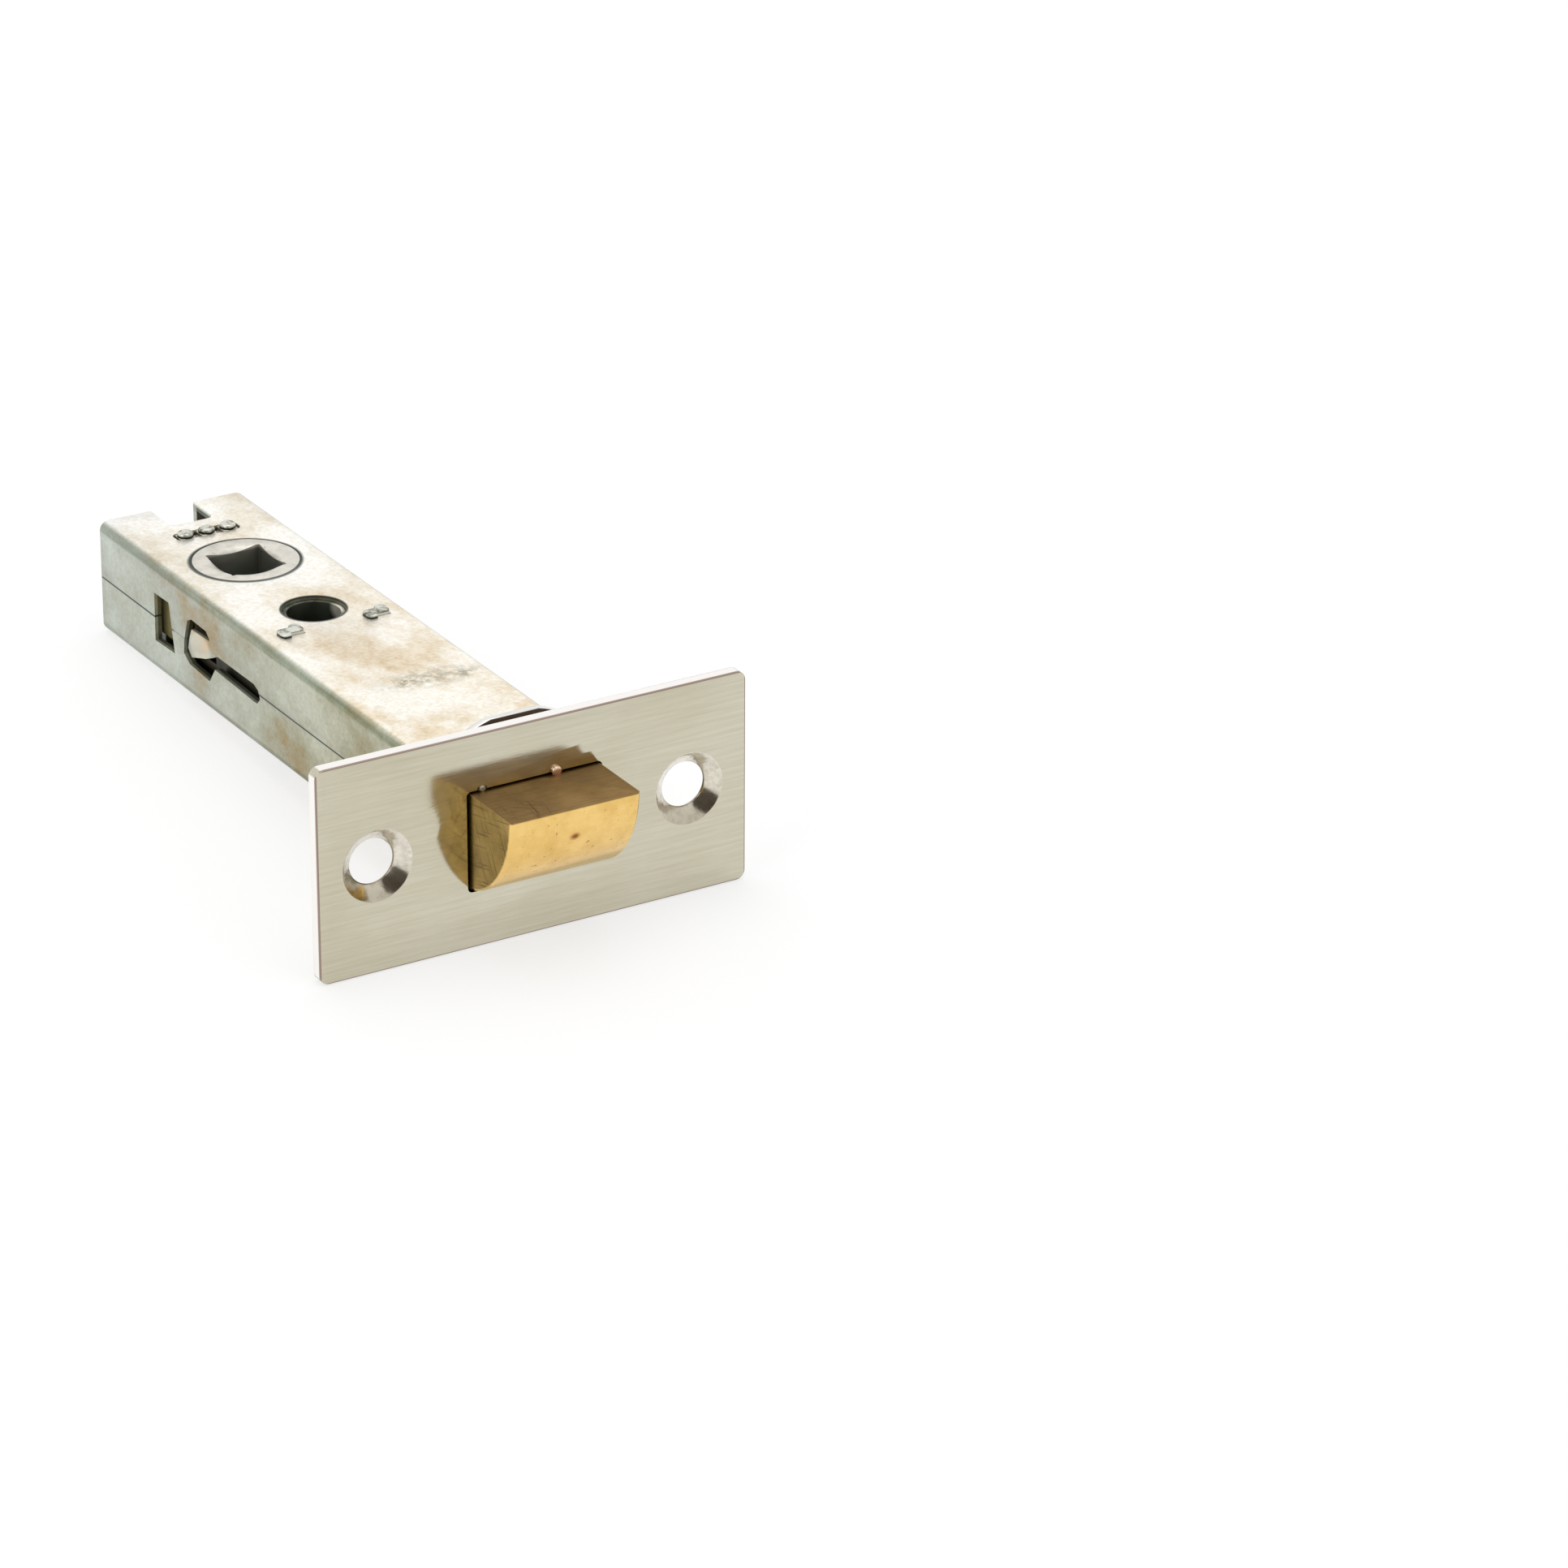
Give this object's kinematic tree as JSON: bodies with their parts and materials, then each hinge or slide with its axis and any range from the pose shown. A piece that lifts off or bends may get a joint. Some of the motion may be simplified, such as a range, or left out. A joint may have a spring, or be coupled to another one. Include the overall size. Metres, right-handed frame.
{
  "type": "tubular door latch",
  "caption": "Bolt-through tubular door latch: long sheet-metal case, faceplate with two screw holes, bevelled sprung brass bolt and a turning follower with a square spindle hole.",
  "frame": {"origin": "middle of the faceplate's front face, midway between its two screw holes", "axes": "+X along the faceplate, +Y back into the door along the case, +Z along the spindle"},
  "size_m": [0.06, 0.1083, 0.0284],
  "materials": {
    "faceplate": "brushed satin nickel",
    "upper_case": "zinc plated, passivated",
    "lower_case": "zinc plated, passivated",
    "bore_collar": "bright zinc",
    "latch_bolt": "plain brass",
    "bolt_stem": "zinc plated",
    "stem_pin": "plain steel",
    "stem_washer": "zinc plated",
    "stem_circlip": "blackened spring steel",
    "bolt_spring": "spring steel",
    "crosshead": "plain steel",
    "left_draw_plate": "yellow passivated zinc",
    "right_draw_plate": "yellow passivated zinc",
    "draw_rivets": "plain steel",
    "return_spring": "spring steel",
    "spring_seat": "zinc plated",
    "spring_wall": "zinc plated",
    "through_bush": "zinc plated",
    "follower": "sintered steel, zinc plated",
    "rear_spacer": "zinc plated"
  },
  "bodies": {
    "case": {"faceplate": "faceplate", "upper_case": "upper_case", "lower_case": "lower_case", "bore_collar": "bore_collar", "spring_wall": "spring_wall", "spring_seat": "spring_seat", "through_bush": "through_bush", "rear_spacer": "rear_spacer", "return_spring": "return_spring"},
    "follower": {"follower": "follower"},
    "draw_gear": {"crosshead": "crosshead", "left_draw_plate": "left_draw_plate", "right_draw_plate": "right_draw_plate", "draw_rivets": "draw_rivets", "bolt_spring": "bolt_spring"},
    "bolt": {"latch_bolt": "latch_bolt", "bolt_stem": "bolt_stem", "stem_pin": "stem_pin", "stem_washer": "stem_washer", "stem_circlip": "stem_circlip"}
  },
  "joints": [
    {"name": "follower_turn", "type": "hinge", "parent": "case", "child": "follower", "pos_m": [0, 0.0767, 0], "axis": [0, 0, 1], "range_deg": [0, 75]},
    {"name": "draw_slide", "type": "slide", "parent": "case", "child": "draw_gear", "axis": [0, 1, 0], "range_m": [0, 0.01017], "stiffness_N_per_m": 300, "springref_m": -0.02, "deforming": ["return_spring"]},
    {"name": "bolt_slide", "type": "slide", "parent": "draw_gear", "child": "bolt", "axis": [0, 1, 0], "range_m": [0, 0.0101], "stiffness_N_per_m": 150, "springref_m": -0.02, "deforming": ["bolt_spring"]}
  ],
  "couplings": [
    {"joint": "follower_turn", "follows": "draw_slide", "rad_per_m": 128.7}
  ]
}
